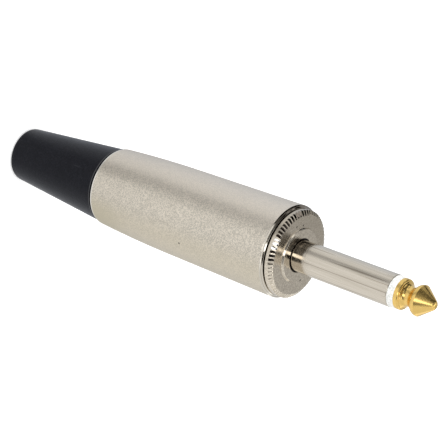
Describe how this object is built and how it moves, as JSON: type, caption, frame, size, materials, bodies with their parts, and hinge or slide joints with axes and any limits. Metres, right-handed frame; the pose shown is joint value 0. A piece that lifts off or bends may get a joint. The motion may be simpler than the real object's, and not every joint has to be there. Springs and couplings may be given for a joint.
{
  "type": "phone plug",
  "caption": "Straight phone plug: gold tip and metal sleeve finger, serrated flange, round metal barrel that unscrews, and a black screwed cable boot.",
  "frame": {"origin": "on the axis, at the flat rear end of the cable boot, on which the plug stands", "axes": "+Z along the plug's axis from the cable boot to the tip; +X through the middle of the sleeve terminal"},
  "size_m": [0.0186, 0.0186, 0.1032],
  "materials": {
    "gold_plate": "polished gold plate on brass",
    "white_plastic": "moulded plastic",
    "natural_plastic": "extruded tube",
    "sleeve_nickel": "nickel plate on brass, brushed along, polished root",
    "body_nickel": "nickel plate on turned brass",
    "dark_plastic": "moulded plastic",
    "tinned_metal": "tinned sheet brass",
    "fibre": "pressed fibre sheet",
    "bare_brass": "stamped brass",
    "liner_plastic": "thin rolled plastic tube",
    "barrel_nickel": "satin nickel plate, bead blasted",
    "chuck_plastic": "moulded plastic",
    "boot_plastic": "moulded plastic, fine satin"
  },
  "bodies": {
    "plug": {"tip_contact": "gold_plate", "tip_ring": "white_plastic", "rod_tube": "natural_plastic", "sleeve_contact": "sleeve_nickel", "plug_body": "body_nickel", "rear_bush": "dark_plastic", "sleeve_terminal": "tinned_metal", "insulating_washer": "fibre", "tip_terminal": "tinned_metal", "end_washer": "bare_brass"},
    "liner_tube": {"liner": "liner_plastic"},
    "barrel_shell": {"barrel": "barrel_nickel"},
    "cable_chuck": {"chuck": "chuck_plastic"},
    "cable_boot": {"boot": "boot_plastic"}
  },
  "joints": [
    {"name": "barrel_travel", "type": "slide", "parent": "plug", "child": "liner_tube", "axis": [0, 0, -1], "range_m": [0, 0.0088]},
    {"name": "barrel_turn", "type": "hinge", "parent": "liner_tube", "child": "barrel_shell", "pos_m": [0, 0, 0.06], "axis": [0, 0, -1], "range_deg": [0, 3175]},
    {"name": "chuck_travel", "type": "slide", "parent": "barrel_shell", "child": "cable_chuck", "axis": [0, 0, -1], "range_m": [0, 0.0082]},
    {"name": "boot_turn", "type": "hinge", "parent": "cable_chuck", "child": "cable_boot", "pos_m": [0, 0, 0.03], "axis": [0, 0, -1], "range_deg": [0, 2959]}
  ],
  "couplings": [
    {"joint": "barrel_turn", "follows": "barrel_travel", "rad_per_m": 6283.2},
    {"joint": "boot_turn", "follows": "chuck_travel", "rad_per_m": 6283.2}
  ]
}
